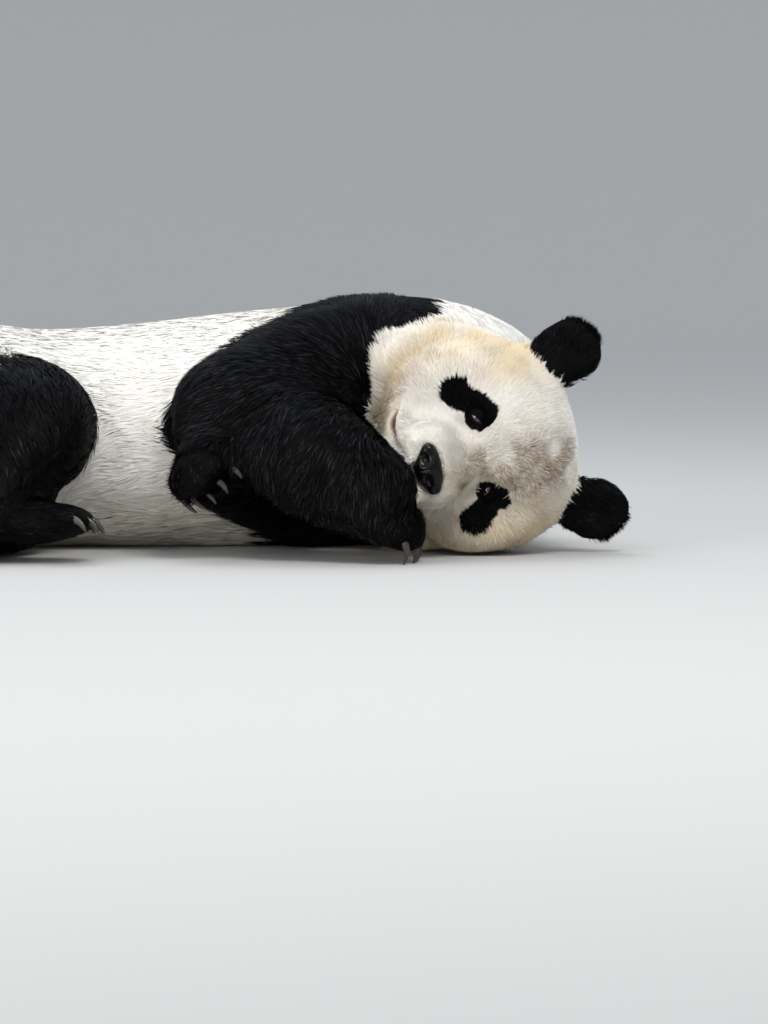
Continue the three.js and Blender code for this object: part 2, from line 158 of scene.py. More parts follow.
def add_value(mesh, name, values):
    mesh.attributes.new(name, "FLOAT", "POINT").data.foreach_set("value", values.astype(np.float32))


def new_object(name, mesh):
    obj = bpy.data.objects.new(name, mesh)
    bpy.context.scene.collection.objects.link(obj)
    return obj


def shade_smooth(mesh):
    mesh.polygons.foreach_set("use_smooth", np.ones(len(mesh.polygons), bool))


# ---------------------------------------------------------------- the skin's mesh
SKIN_CELL = 0.0055
WELD = 1e-6  # points nearer than this are one point
SWELL = 0.0016  # closes the gaps between the solids, so that they make one skin
SKIN_MARGIN = 0.0012  # how far the skin lies below the depth of its coat
SKIN_LOWEST, TUFT_LOWEST, CLAW_LOWEST = 0.0006, 0.0004, 0.0004  # heights above the floor
FLESH = sorted(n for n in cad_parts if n.split("_")[0] not in ("eye", "nose", "claw"))
REGIONS = ["head", "neck", "trunk", "tail", "ear", "foreleg", "forepaw", "hindleg", "hindpaw"]


def region(weights, name):
    """How far each point belongs to one region."""
    return weights[:, REGIONS.index(name)]


def flesh_polygons():
    """All flesh nodes as one list of points and triangles, with each triangle's node."""
    points, triangles, owner = [], [], []
    for i, name in enumerate(FLESH):
        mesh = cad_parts[name].data
        mesh.calc_loop_triangles()
        corners = np.empty(len(mesh.loop_triangles) * 3, np.int32)
        mesh.loop_triangles.foreach_get("vertices", corners)
        triangles.append(corners.reshape(-1, 3) + sum(len(p) for p in points))
        points.append(coordinates(mesh))
        owner.append(np.full(len(triangles[-1]), i))
    return np.vstack(points), np.vstack(triangles), np.concatenate(owner)


def joined_flesh():
    """Copies of the flesh nodes, swollen enough to close the gaps between them."""
    made = bmesh.new()
    for name in FLESH:
        one = bmesh.new()
        one.from_mesh(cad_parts[name].data)
        bmesh.ops.remove_doubles(one, verts=one.verts, dist=WELD)
        one.normal_update()
        for v in one.verts:
            v.co += v.normal * SWELL
        mesh = bpy.data.meshes.new("part")
        one.to_mesh(mesh)
        made.from_mesh(mesh)
        one.free()
        bpy.data.meshes.remove(mesh)
    mesh = bpy.data.meshes.new("panda_skin")
    made.to_mesh(mesh)
    made.free()
    return new_object("panda_skin", mesh)


def apply_modifiers(obj):
    bpy.context.view_layer.update()
    graph = bpy.context.evaluated_depsgraph_get()
    mesh = bpy.data.meshes.new_from_object(obj.evaluated_get(graph))
    obj.modifiers.clear()
    obj.data = mesh
    return mesh


def edges_of(mesh):
    pairs = np.empty(len(mesh.edges) * 2, np.int32)
    mesh.edges.foreach_get("vertices", pairs)
    return pairs.reshape(-1, 2)


def neighbour_mean(values, edges, degree):
    total = np.zeros_like(values)
    np.add.at(total, edges[:, 0], values[edges[:, 1]])
    np.add.at(total, edges[:, 1], values[edges[:, 0]])
    return total / degree[:, None]


def smooth(values, edges, turns, share=0.5):
    degree = np.bincount(edges.ravel(), minlength=len(values)).astype(float)
    weight = share if np.ndim(share) == 0 else share[:, None]
    for _ in range(turns):
        values = values + weight * (neighbour_mean(values, edges, degree) - values)
    return values


FINE_MIDDLE, FINE_R, FINE_BACK = [0, -0.03, 0.0], 0.125, -0.04


def refine_face(mesh):
    """Halves the mesh where the face needs it."""
    bm = bmesh.new()
    bm.from_mesh(mesh)
    local = in_head(np.array([v.co for v in bm.verts]))
    near = (np.linalg.norm(local - FINE_MIDDLE, axis=1) < FINE_R) & (local[:, 2] > FINE_BACK)
    to_halve = [e for e in bm.edges if near[e.verts[0].index] and near[e.verts[1].index]]
    bmesh.ops.subdivide_edges(bm, edges=to_halve, cuts=1, use_grid_fill=True)
    bm.to_mesh(mesh)
    bm.free()


def region_weights(co, edges):
    """How far each point belongs to each region, blurred across their borders, and its node."""
    points, triangles, owner = flesh_polygons()
    tree = BVHTree.FromPolygons(points.tolist(), triangles.tolist())
    nearest = np.array([tree.find_nearest(p)[2] for p in co.tolist()])
    kinds = np.array([REGIONS.index(n.split("_")[0]) for n in FLESH])
    nodes = owner[nearest]
    weights = np.zeros((len(co), len(REGIONS)))
    weights[np.arange(len(co)), kinds[nodes]] = 1
    return smooth(weights, edges, 4), nodes


# Depth of the coat, and length, width and spacing of its tufts, in millimetres, by region.
COAT = {
    "head": (9, 22, 1.5, 1.8),
    "neck": (8, 30, 2.6, 2.8),
    "trunk": (6.5, 38, 3.8, 3.5),
    "tail": (11, 38, 2.2, 2.9),
    "ear": (5, 16, 1.3, 1.9),
    "foreleg": (13, 38, 1.9, 2.6),
    "forepaw": (4.5, 13, 1.3, 1.9),
    "hindleg": (11, 38, 2.3, 3.3),
    "hindpaw": (4.5, 14, 1.3, 2.2),
}
COAT_TABLE = np.array([COAT[r] for r in REGIONS]) / 1000
NEAR_NOSE = np.array([2.6, 7.0, 0.9, 1.15]) / 1000
CHEEK = np.array([11, 26, 1.6, 1.9]) / 1000
NEAR_EYE = np.array([2.0, 4.5, 0.8, 1.05]) / 1000
BROW_LESS = np.array([0.35, 0.45, 0.25, 0.2])  # the share that each loses on the forehead


def coat_at(co, weights):
    """Depth, length, width and spacing of the coat at each point."""
    coat = (weights / weights.sum(1, keepdims=True)) @ COAT_TABLE
    local = in_head(co)
    t = smoothstep(0.02, 0.2, np.linalg.norm(co - NOSE, axis=1))[:, None]
    brow = smoothstep(0.01, 0.07, local[:, 1]) * smoothstep(-0.1, -0.03, local[:, 2])
    face = NEAR_NOSE * (1 - t) + CHEEK * t
    face *= 1 - brow[:, None] * BROW_LESS
    is_head = region(weights, "head")[:, None]
    coat = coat * (1 - is_head) + face * is_head
    lids = np.minimum(
        np.linalg.norm(co - EYE_RIGHT, axis=1), np.linalg.norm(co - EYE_LEFT, axis=1)
    )
    near_eye = (1 - smoothstep(0.014, 0.045, lids))[:, None]
    return coat * (1 - near_eye) + NEAR_EYE * near_eye


MUZZLE_HALF_WIDTH = 0.062  # where the lips begin to fade into the cheek


def lip_line(side):
    """Height of the line between the lips, by distance from the middle of the muzzle."""
    return -0.082 - 0.022 * smoothstep(0.003, 0.052, side) + 0.005 * smoothstep(0.054, 0.070, side)


RUFF_CENTRE, RUFF_R = (0.020, -0.020), 0.120  # right and up; the two halves mirror each other


def ruff_line(local):
    """Distance outwards from the valley that parts the face from its ruff."""
    across, up = np.abs(local[:, 0]) - RUFF_CENTRE[0], local[:, 1] - RUFF_CENTRE[1]
    return np.hypot(across, up) - RUFF_R


def on_ruff(local):
    """1 where the ruff stands out behind the cheeks, 0 on the crown, where the ears are."""
    return (1 - smoothstep(0.03, 0.08, local[:, 1])) * smoothstep(-0.12, -0.07, local[:, 2])


def valley(local, width):
    """1 at the bottom of the valley in front of the ruff."""
    return bell(ruff_line(local) + 0.002, width) * on_ruff(local)


# Ridges and grooves, each with its height, its place across the line and its half width.
LIP_FORMS = ((-0.0060, 0.0, 0.0032), (0.0026, 0.010, 0.006), (0.0018, -0.009, 0.006))
RUFF_FORMS = ((0.0035, 0.022, 0.013), (-0.0075, 0.0, 0.016))
LIP_GROOVE = (0.0028, 0.003)  # depth and half width of the groove below the nose
RUFF_CORNER, RUFF_CORNER_R, RUFF_CORNER_DENT = [0.150, 0.128, 0.090], 0.030, 0.014
FOLD_CENTRE, FOLD_R = (0.006, -0.050), 0.046  # right and up; the two folds mirror each other
FOLD_DEPTH, FOLD_HALF_WIDTH = 0.0022, 0.006
LID_SWELL_R, LID_SWELL_BACK, LID_SWELL_MOST = 0.0165, 0.0075, 0.010


def sculpt_face(co, no, head):
    """The forms of the face that are too small for the solids."""
    local = in_head(co)
    r, u, f = local.T
    front = smoothstep(-0.05, -0.01, f) * smoothstep(-0.1, 0.25, no @ HEAD[2]) * head
    side = np.abs(r - NOSE_SIDE)
    inside = 1 - smoothstep(MUZZLE_HALF_WIDTH, 0.074, side)
    move = relief(u - lip_line(side), LIP_FORMS) * inside * front
    below = smoothstep(-0.084, -0.080, u) * (1 - smoothstep(-0.072, -0.066, u))
    move -= LIP_GROOVE[0] * bell(r - NOSE_SIDE, LIP_GROOVE[1]) * below * front
    # the ruff and the valley in front of it, and a dent at each of its lower corners
    move += relief(ruff_line(local), RUFF_FORMS) * on_ruff(local) * head
    corner = np.abs(local) - RUFF_CORNER
    dent = np.exp(-(corner**2).sum(1) / RUFF_CORNER_R**2) * (u < 0)
    move -= RUFF_CORNER_DENT * dent * head
    # a fold from the inner corner of each eye down beside the muzzle
    fold = np.abs(np.hypot(np.abs(r) - FOLD_CENTRE[0], u - FOLD_CENTRE[1]) - FOLD_R)
    move -= FOLD_DEPTH * bell(fold, FOLD_HALF_WIDTH) * front * (1 - smoothstep(-0.02, 0.0, u))
    co = co + no * move[:, None]
    # the swelling of each eyeball under its lids
    for eye in (EYE_RIGHT, EYE_LEFT):
        r, u, f = ((co - eye) @ HEAD.T).T
        away = np.hypot(r, u * 1.15)
        swell = np.sqrt(np.maximum(LID_SWELL_R**2 - away**2, 0)) - LID_SWELL_BACK
        rise = np.clip(swell - f, 0, LID_SWELL_MOST)
        rise *= (1 - smoothstep(0.0135, LID_SWELL_R, away)) * (f > -0.02)
        co = co + np.outer(rise, HEAD[2])
    return co


def nape_crease(weights, edges):
    """How far to smooth each point of the crease between the back of the head and the neck."""
    soft = smooth(weights, edges, 10)
    return 0.5 * np.clip(5 * region(soft, "head") * region(soft, "neck"), 0, 1)


def build_skin():
    """The skin's object, how far each of its points belongs to each region, and each one's node."""
    obj = joined_flesh()
    remesh = obj.modifiers.new("remesh", "REMESH")
    remesh.mode = "VOXEL"
    remesh.voxel_size = SKIN_CELL
    mesh = apply_modifiers(obj)
    refine_face(mesh)
    edges = edges_of(mesh)
    co = coordinates(mesh)
    from_face = np.linalg.norm(in_head(co) - [0, -0.03, 0.02], axis=1)
    fine = 1 - smoothstep(0.09, 0.16, from_face)
    co = smooth(co, edges, 12, 0.5 - 0.3 * fine)
    set_coordinates(mesh, co)
    weights, nodes = region_weights(co, edges)
    depth = smooth(coat_at(co, weights)[:, :1], edges, 6)[:, 0]
    depth *= 0.15 + 0.85 * smoothstep(0.0, 0.07, co[:, 2])
    co = co - normals(mesh) * (depth[:, None] + SKIN_MARGIN)
    co = smooth(co, edges, 4, 0.4 - 0.25 * fine)
    co = smooth(co, edges, 30, nape_crease(weights, edges))
    set_coordinates(mesh, co)
    co = sculpt_face(co, normals(mesh), region(weights, "head"))
    co[:, 2] = np.maximum(co[:, 2], SKIN_LOWEST)
    set_coordinates(mesh, co)
    shade_smooth(mesh)
    return obj, weights, nodes


# ---------------------------------------------------------------- markings
PATCH_EYE, PATCH_LOW = np.array([0.052, 0.007]), np.array([0.078, -0.023])  # right, up
PATCH_R = 0.0188
ROUND_EYE, ROUND_EYE_R = 0.046, 0.0165  # the dark circle round each eye
PATCH_EDGE = 0.0012


def patch(local):
    """The black patch round each eye, 1 inside and 0 outside: a bean that droops outwards."""
    place = np.stack([np.abs(local[:, 0]), local[:, 1]], axis=1) - PATCH_EYE
    line = PATCH_LOW - PATCH_EYE
    t = np.clip(place @ line / (line @ line), 0, 1)
    off = place - t[:, None] * line
    inner = off @ np.array([line[1], -line[0]]) > 0
    waist = 0.004 * bell(t - 0.4, 0.25) * inner + 0.0020 * bell(t - 0.55, 0.25)
    away = np.linalg.norm(off, axis=1) - (PATCH_R - waist)
    round_eye = np.hypot(np.abs(local[:, 0]) - ROUND_EYE, local[:, 1]) - ROUND_EYE_R
    away = np.minimum(away, round_eye) + 0.0008 * waves(local, 0.022, 33)
    return (1 - smoothstep(-PATCH_EDGE, PATCH_EDGE, away)) * (local[:, 2] > -0.06)


HIPS = at(-560, 160, 190), at(-570, 170, 60)
WITHERS_X, NAPE_X = at(-92, 0, 0)[0], at(84, 0, 0)[0]  # the ends of the black band
HIP_R = (0.155, 0.175)  # the white of the hip ends between these distances from it
BAND_EDGE = 0.006
THROAT_RIGHT, THROAT_UP = 0.138, -0.110  # the corner of the ruff, black behind it


def region_black(co, weights):
    """How black each point is by the part of the body that it is on."""
    w = {name: region(weights, name) for name in REGIONS}
    ragged = 0.012 * waves(co, 0.07, 21) + 0.006 * waves(co, 0.025, 22)
    low = np.minimum(co[:, 2] - 0.25, 0)
    band = smoothstep(-BAND_EDGE, BAND_EDGE, co[:, 0] - WITHERS_X + ragged - 0.2 * low)
    nape = 1 - smoothstep(-BAND_EDGE, BAND_EDGE, co[:, 0] - NAPE_X + 0.5 * ragged)
    hips = np.min([np.linalg.norm(co - hip, axis=1) for hip in HIPS], axis=0)
    thigh = smoothstep(*HIP_R, hips + ragged)
    local = in_head(co)
    beyond = np.abs(local[:, 0]) - THROAT_RIGHT + 0.8 * (THROAT_UP - local[:, 1])
    throat = smoothstep(0.012, 0.019, beyond + 0.2 * ragged) * (local[:, 2] < -0.06)
    black = w["foreleg"] + w["forepaw"] + w["ear"] + w["hindpaw"] + w["head"] * throat
    black += w["trunk"] * band + w["hindleg"] * thigh + w["neck"] * nape
    return smoothstep(0.42, 0.58, black)


def bloom(local, place, radii):
    """A soft spot, 1 at its place, by how far right and up each point lies."""
    right, up = (local[:, i] - place[i] for i in (0, 1))
    return np.exp(-((right / radii[0]) ** 2) - (up / radii[1]) ** 2)


def blooms(local, spots):
    """Soft spots together, each with its strength, its place and its radii."""
    return sum(strength * bloom(local, place, radii) for strength, place, radii in spots)


STAIN_SPOTS = (
    (0.85, (0.106, 0.062), (0.026, 0.042)),
    (0.35, (-0.085, 0.010), (0.050, 0.090)),
    (0.35, (-0.015, -0.020), (0.030, 0.030)),
)


def stains(co, weights):
    """Where the white coat is yellowed."""
    local = in_head(co)
    patchy = 0.5 + 0.5 * waves(co, 0.05, 41)
    ruff = smoothstep(0.0, 0.03, ruff_line(local)) * on_ruff(local)
    head = 0.10 + 0.70 * valley(local, 0.024) + 0.05 * ruff + blooms(local, STAIN_SPOTS)
    head *= region(weights, "head") * (0.75 + 0.25 * patchy)
    low = 1 - smoothstep(0.02, 0.13, co[:, 2])
    return np.clip(0.05 + 0.08 * patchy + head + 0.28 * low, 0, 1)


# Dust on the lower face, with painted shade where the face turns down towards the floor and beside the
# lips under the arm: each spot with its strength, its place and its radii.
DUST_AND_SHADE_SPOTS = (
    (2.0, (-0.024, 0.052), (0.034, 0.060)),
    (0.8, (-0.008, -0.016), (0.028, 0.026)),
    (0.5, (0.030, -0.086), (0.034, 0.022)),
)


def dust_and_shade(co, weights):
    """Where the white coat is dulled to grey-brown: dust with painted shade on the lower face, painted
    shade in the valley in front of the ruff, and greyer towards the floor.
    """
    local = in_head(co)
    is_head = region(weights, "head") * smoothstep(-0.07, -0.03, local[:, 2])
    patchy = np.clip(0.65 + 0.4 * waves(co, 0.03, 45), 0.1, 1)
    face = blooms(local, DUST_AND_SHADE_SPOTS)
    # painted shade in the valley in front of the ruff
    cheek = 1.25 * valley(local, 0.020) * (0.7 + 0.3 * np.clip(waves(co, 0.04, 47), -1, 1))
    # a little greyer towards the floor
    low = 0.12 * (1 - smoothstep(0.01, 0.08, co[:, 2]))
    return np.clip(is_head * (0.85 * face + 0.6 * cheek) * patchy + low * patchy, 0, 1)


def bare_lips(co, head):
    """The bare rims of the lips and the corner of the mouth."""
    local = in_head(co)
    side = np.abs(local[:, 0] - NOSE_SIDE)
    inside = 1 - smoothstep(MUZZLE_HALF_WIDTH, 0.070, side)
    inside *= smoothstep(-0.05, -0.01, local[:, 2]) * smoothstep(0.6, 0.95, head)
    corner = bell(side - 0.052, 0.013)
    near = bell(local[:, 1] - lip_line(side), 0.0024 + 0.0036 * corner)
    return near * inside * (0.55 + 0.45 * corner)


# ---------------------------------------------------------------- the lie of the coat
def lie(co, no, weights, nodes):
    """The way that the hair runs along the skin at each point."""
    node = np.array(FLESH)[nodes]

    def both(name, right, left):
        """One way on the right limb and another on the left."""
        return np.where((node == f"{name}_right")[:, None], right, left)

    def const(*v):
        return np.tile(np.array(v, float), (len(co), 1))

    fan = unit(co - at(-28, 40, 196)) + const(-0.05, 0.0, -0.1)
    ways = {
        "head": unit(co - from_head([0, -0.035, 0.03])),
        "neck": unit(const(-0.75, 0.62, -0.1)),
        "trunk": unit(const(-1.0, -0.15, -0.22)),
        "tail": unit(const(-0.45, 0.15, -0.85)),
        "ear": unit(co - from_head([0, 0.03, -0.075])),
        "foreleg": both("foreleg", unit(fan), unit(const(-0.8, -0.5, -0.1))),
        "forepaw": both("forepaw", const(0.86, 0.05, -0.5), const(-0.2, -0.75, -0.62)),
        "hindleg": both("hindleg", unit(const(0.45, -0.85, -0.25)), unit(const(-0.1, -0.95, -0.2))),
        "hindpaw": both("hindpaw", const(1, -0.06, -0.05), const(0.42, -0.9, -0.05)),
    }
    return tangent(np.einsum("nr,nrk->nk", weights, np.stack([ways[r] for r in REGIONS], axis=1)), no)


# ---------------------------------------------------------------- materials
def node_tree(name):
    material = bpy.data.materials.new(name)
    material.use_nodes = True
    tree = material.node_tree
    shader = tree.nodes["Principled BSDF"]
    return material, tree, shader


def add(tree, kind, **settings):
    node = tree.nodes.new(kind)
    for key, value in settings.items():
        setattr(node, key, value)
    return node


def set_inputs(node, **values):
    """Sets a node's inputs by name, with _ for each space."""
    for name, value in values.items():
        node.inputs[name.replace("_", " ")].default_value = value


def attribute(tree, name):
    return add(tree, "ShaderNodeAttribute", attribute_name=name).outputs["Fac"]


def mix(tree, factor, a, b, blend="MIX"):
    node = add(tree, "ShaderNodeMix", data_type="RGBA", blend_type=blend)
    for socket, value in ((node.inputs[0], factor), (node.inputs[6], a), (node.inputs[7], b)):
        if isinstance(value, bpy.types.NodeSocket):
            tree.links.new(value, socket)
        elif isinstance(value, (int, float)):
            socket.default_value = value
        else:
            socket.default_value = (*value, 1)
    return node.outputs[2]


def object_place(tree, node):
    """Lays a texture over the piece's own coordinates."""
    coords = add(tree, "ShaderNodeTexCoord")
    tree.links.new(coords.outputs["Object"], node.inputs["Vector"])


def noise(tree, scale, detail=2.0):
    node = add(tree, "ShaderNodeTexNoise")
    set_inputs(node, Scale=scale, Detail=detail)
    object_place(tree, node)
    return node.outputs["Fac"]


def bump(tree, shader, height, strength, distance):
    node = add(tree, "ShaderNodeBump")
    set_inputs(node, Strength=strength, Distance=distance)
    tree.links.new(height, node.inputs["Height"])
    tree.links.new(node.outputs["Normal"], shader.inputs["Normal"])


# The third colour is the grey-brown of dust and of painted shade on the white coat.
WHITE, CREAM, DUST_AND_SHADE = (0.90, 0.885, 0.85), (0.78, 0.655, 0.45), (0.34, 0.27, 0.19)
# The black hair is darker at its roots than at its tips: painted shade down among the hair.
BLACK_ROOT, BLACK_TIP = (0.0006, 0.0006, 0.0008), (0.0030, 0.0031, 0.0036)
UNDER_COAT = (0.95, 0.94, 0.93)  # what the white skin has of the colour of its hair
LIP_PINK, LIP_DARK = (0.44, 0.31, 0.26), (0.10, 0.055, 0.045)
NOSE_DARK, NOSE_LIGHT = (0.0012, 0.0012, 0.0012), (0.005, 0.004, 0.004)
PUPIL, IRIS, EYE_WHITE = (0.003, 0.002, 0.002), (0.035, 0.014, 0.006), (0.15, 0.12, 0.11)
CLAW_DARK, CLAW_LIGHT = (0.008, 0.006, 0.005), (0.075, 0.062, 0.050)
LID_DARK, LID_LIGHT = (0.0006, 0.0006, 0.0006), (0.002, 0.0018, 0.0018)


def mapped(tree, value, low, high):
    """A socket's 0 to 1 turned into low to high."""
    node = add(tree, "ShaderNodeMapRange")
    tree.links.new(value, node.inputs["Value"])
    set_inputs(node, To_Min=low, To_Max=high)
    return node.outputs["Result"]


def times(tree, a, b):
    node = add(tree, "ShaderNodeMath", operation="MULTIPLY")
    tree.links.new(a, node.inputs[0])
    tree.links.new(b, node.inputs[1])
    return node.outputs["Value"]


def white_hair(tree):
    """White, yellowed by the stains and dulled by dust and painted shade."""
    dust_and_shade_amount = times(tree, attribute(tree, "dust_and_shade"), mapped(tree, noise(tree, 26.0, 3.0), 0.55, 1.25))
    return mix(tree, dust_and_shade_amount, mix(tree, attribute(tree, "stain"), WHITE, CREAM), DUST_AND_SHADE)


def colour(tree, shader, socket):
    tree.links.new(socket, shader.inputs["Base Color"])


def white_coat_material():
    material, tree, shader = node_tree("white_coat")
    # The roots are painted darker than the tips, as painted shade down among the hair; the tone
    # differs at random from tuft to tuft.
    root_shade_and_tone = times(tree, mapped(tree, attribute(tree, "along"), 0.92, 1.0), attribute(tree, "tone"))
    colour(tree, shader, mix(tree, 1.0, white_hair(tree), root_shade_and_tone, "MULTIPLY"))
    set_inputs(shader, Roughness=0.75, Specular_IOR_Level=0.25, Sheen_Weight=0.15, Sheen_Roughness=0.5)
    return material


def black_coat_material():
    material, tree, shader = node_tree("black_coat")
    # darker at the roots than at the tips: painted shade down among the hair
    hair = mix(tree, attribute(tree, "along"), BLACK_ROOT, BLACK_TIP)
    colour(tree, shader, mix(tree, 1.0, hair, attribute(tree, "tone"), "MULTIPLY"))
    tree.links.new(mapped(tree, noise(tree, 40.0), 0.42, 0.62), shader.inputs["Roughness"])
    set_inputs(shader, Specular_IOR_Level=0.05)
    return material


def skin_material():
    """The skin under the coat, coloured as the coat's roots are, and the bare lips."""
    material, tree, shader = node_tree("skin")
    white = mix(tree, 1.0, white_hair(tree), UNDER_COAT, "MULTIPLY")
    hairy = mix(tree, attribute(tree, "black"), white, BLACK_ROOT)
    bare = attribute(tree, "lips")
    lips = mix(tree, mapped(tree, bare, -0.9, 1.3), LIP_PINK, LIP_DARK)
    lips = mix(tree, 1.0, lips, mapped(tree, noise(tree, 300.0), 0.7, 1.2), "MULTIPLY")
    colour(tree, shader, mix(tree, mapped(tree, bare, -0.1, 2.4), hairy, lips))
    set_inputs(shader, Roughness=0.75, Specular_IOR_Level=0.2)
    bump(tree, shader, noise(tree, 420.0, 4.0), 0.5, 0.001)
    return material


def nose_material():
    material, tree, shader = node_tree("nose_skin")
    colour(tree, shader, mix(tree, noise(tree, 60.0), NOSE_DARK, NOSE_LIGHT))
    set_inputs(shader, Roughness=0.30, Specular_IOR_Level=0.07, Coat_Weight=0.25, Coat_Roughness=0.06)
    pebbles = add(tree, "ShaderNodeTexVoronoi")
    set_inputs(pebbles, Scale=620.0)
    object_place(tree, pebbles)
    bump(tree, shader, pebbles.outputs["Distance"], 0.35, 0.0006)
    return material


def eye_material():
    material, tree, shader = node_tree("eye")
    iris = mix(tree, attribute(tree, "iris"), PUPIL, IRIS)
    colour(tree, shader, mix(tree, attribute(tree, "sclera"), iris, EYE_WHITE))
    set_inputs(shader, Roughness=0.06, Coat_Weight=1.0, Coat_Roughness=0.03)
    return material


def lid_material():
    material, tree, shader = node_tree("eyelid")
    colour(tree, shader, mix(tree, noise(tree, 500.0), LID_DARK, LID_LIGHT))
    set_inputs(shader, Roughness=0.8, Specular_IOR_Level=0.06)
    return material


def claw_material():
    material, tree, shader = node_tree("claw")
    streaks = noise(tree, 160.0, 3.0)
    colour(tree, shader, mix(tree, streaks, CLAW_DARK, CLAW_LIGHT))
    set_inputs(shader, Roughness=0.26)
    bump(tree, shader, streaks, 0.2, 0.0004)
    return material


# ---------------------------------------------------------------- the coat's mesh
def skin_triangles(mesh):
    mesh.calc_loop_triangles()
    count = len(mesh.loop_triangles)
    corners = np.empty(count * 3, np.int32)
    loops = np.empty(count * 3, np.int32)
    mesh.loop_triangles.foreach_get("vertices", corners)
    mesh.loop_triangles.foreach_get("loops", loops)
    uv = np.empty(len(mesh.loops) * 2, np.float32)
    mesh.uv_layers["OFBake"].data.foreach_get("uv", uv)
    return corners.reshape(-1, 3), uv.reshape(-1, 2)[loops].reshape(-1, 3, 2)


class Roots:
    """Random places on the skin, more where the coat is finer."""

    def __init__(self, co, triangles, density, count):
        a, b, c = co[triangles[:, 0]], co[triangles[:, 1]], co[triangles[:, 2]]
        area = np.linalg.norm(np.cross(b - a, c - a), axis=1) / 2
        share = area * density[triangles].mean(1)
        up_to = np.cumsum(share) / share.sum()
        face = np.searchsorted(up_to, (np.arange(count) + rng.uniform(0, 1, count)) / count)
        self.face = np.minimum(face, len(triangles) - 1)
        r1, r2 = np.sqrt(rng.uniform(0, 1, count)), rng.uniform(0, 1, count)
        self.shares = np.stack([1 - r1, r1 * (1 - r2), r1 * r2], axis=1)
        self.corners = triangles[self.face]

    def of(self, values):
        """The values of the skin's points, at each root."""
        return np.einsum("nk,nk...->n...", self.shares, values[self.corners])


def follow(tree, points, fallback, reach):
    """The nearest place on the skin to each point, with its normal and its triangle.

    A point that is farther than its reach from the skin stays, with the fallback as its normal.
    """
    found = np.empty_like(points)
    normal = np.empty_like(points)
    faces = np.empty(len(points), np.int32)
    for i, p in enumerate(points.tolist()):
        place, way, faces[i], distance = tree.find_nearest(p)
        if distance > reach[i]:
            found[i], normal[i] = p, fallback[i]
        else:
            found[i], normal[i] = place, way
    return found, normal, faces


CELL_PRIMES = [73856093, 19349663, 83492791]  # give each cell of space a number of its own


def clumped(tips, places, sizes, share):
    """Draws the tips of neighbouring tufts together into locks."""
    cells = np.floor(places / sizes[:, None]).astype(np.int64)
    key = (cells * CELL_PRIMES).sum(1)
    _, group = np.unique(key, return_inverse=True)
    count = np.bincount(group).astype(float)
    mean = np.stack([np.bincount(group, tips[:, i]) / count for i in range(3)], axis=1)
    return tips + share[:, None] * (mean[group] - tips)


ALONG = np.array([0, 0, 0.5, 0.5, 1.0])  # a tuft's points: two at its root, two half way, its tip
TUFT_LOOPS = np.array([0, 1, 3, 2, 2, 3, 4])  # the corners of its two faces
TUFT_FACES = [4, 3]  # how many corners each face has
TUFT_UV = np.array([[-1, -1], [1, -1], [-1, 0], [1, 0], [0, 1]]) * 0.0014  # round its root's place


def tuft_mesh(name, rings, uv, values):
    """Ribbons that taper to a point: rings is tufts x 5 points x 3, and values are one a tuft."""
    count, per = rings.shape[:2]
    loops = ((np.arange(count) * per)[:, None] + TUFT_LOOPS).astype(np.int32)
    starts = (np.arange(count) * len(TUFT_LOOPS))[:, None] + np.array([0, TUFT_FACES[0]])
    mesh = bpy.data.meshes.new(name)
    mesh.vertices.add(count * per)
    mesh.vertices.foreach_set("co", rings.astype(np.float32).ravel())
    mesh.loops.add(loops.size)
    mesh.loops.foreach_set("vertex_index", loops.ravel())
    mesh.polygons.add(count * len(TUFT_FACES))
    mesh.polygons.foreach_set("loop_start", starts.astype(np.int32).ravel())
    mesh.polygons.foreach_set("loop_total", np.tile(TUFT_FACES, count).astype(np.int32))
    shade_smooth(mesh)
    mesh.update(calc_edges=True)
    layer = mesh.uv_layers.new(name="OFBake")
    layer.data.foreach_set("uv", uv.reshape(-1, 2)[loops.ravel()].astype(np.float32).ravel())
    add_value(mesh, "along", np.tile(ALONG, count))
    for key, value in values.items():
        add_value(mesh, key, np.repeat(value, per))
    return mesh


TUFTS = 480_000
TUFTS_IN_PIECE = 62_000
BROAD = 1.0  # fewer tufts are drawn broader


def coat_pieces(name, material, chosen, rings, uv, values):
    """The chosen tufts as pieces of fewer than 200,000 triangles, from the head to the tail."""
    order = chosen[np.argsort(-rings[chosen, 0, 0])]
    for i, part in enumerate(np.array_split(order, math.ceil(len(order) / TUFTS_IN_PIECE))):
        own = {key: value[part] for key, value in values.items()}
        mesh = tuft_mesh(f"{name}_{i + 1}", rings[part], uv[part], own)
        mesh.materials.append(material)
        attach(new_object(f"{name}_{i + 1}", mesh), "root")


def coat_on_skin(co, weights, soft, limbs, edges):
    """Depth, length, width and spacing of the coat at each point of the skin."""
    coat = smooth(coat_at(co, weights), edges, 5)
    on_head, head, ear = region(weights, "head"), region(soft, "head"), region(soft, "ear")
    # the ruff lies over the shoulder, so its edge stands higher and the black beside it lower
    edge = smoothstep(0.02, 0.4, limbs) * smoothstep(0.3, 0.6, on_head)
    beside = smoothstep(0.03, 0.4, head) * (1 - smoothstep(0.3, 0.6, on_head)) * (ear < 0.1)
    coat[:, 0] *= 1 + 0.4 * edge - 0.75 * beside
    coat[:, 1] *= 1 - 0.45 * beside
    # hair is short beside the ears and the lips
    local = in_head(co)
    side = np.abs(local[:, 0] - NOSE_SIDE)
    by_lips = 1 - smoothstep(0.004, 0.020, np.abs(local[:, 1] - lip_line(side)))
    by_lips *= (side < 0.08) & (head > 0.5)
    by_ear = smoothstep(0.02, 0.35, ear) * (on_head > 0.5)
    coat[:, :2] *= (1 - 0.6 * np.maximum(by_lips, by_ear))[:, None]
    return coat


NOSE_PAD = (0.033, 0.016)  # half width and half height of the bare nose
BARE_EYE = (0.0085, 0.0115)  # hair begins between these distances from the middle of each eye


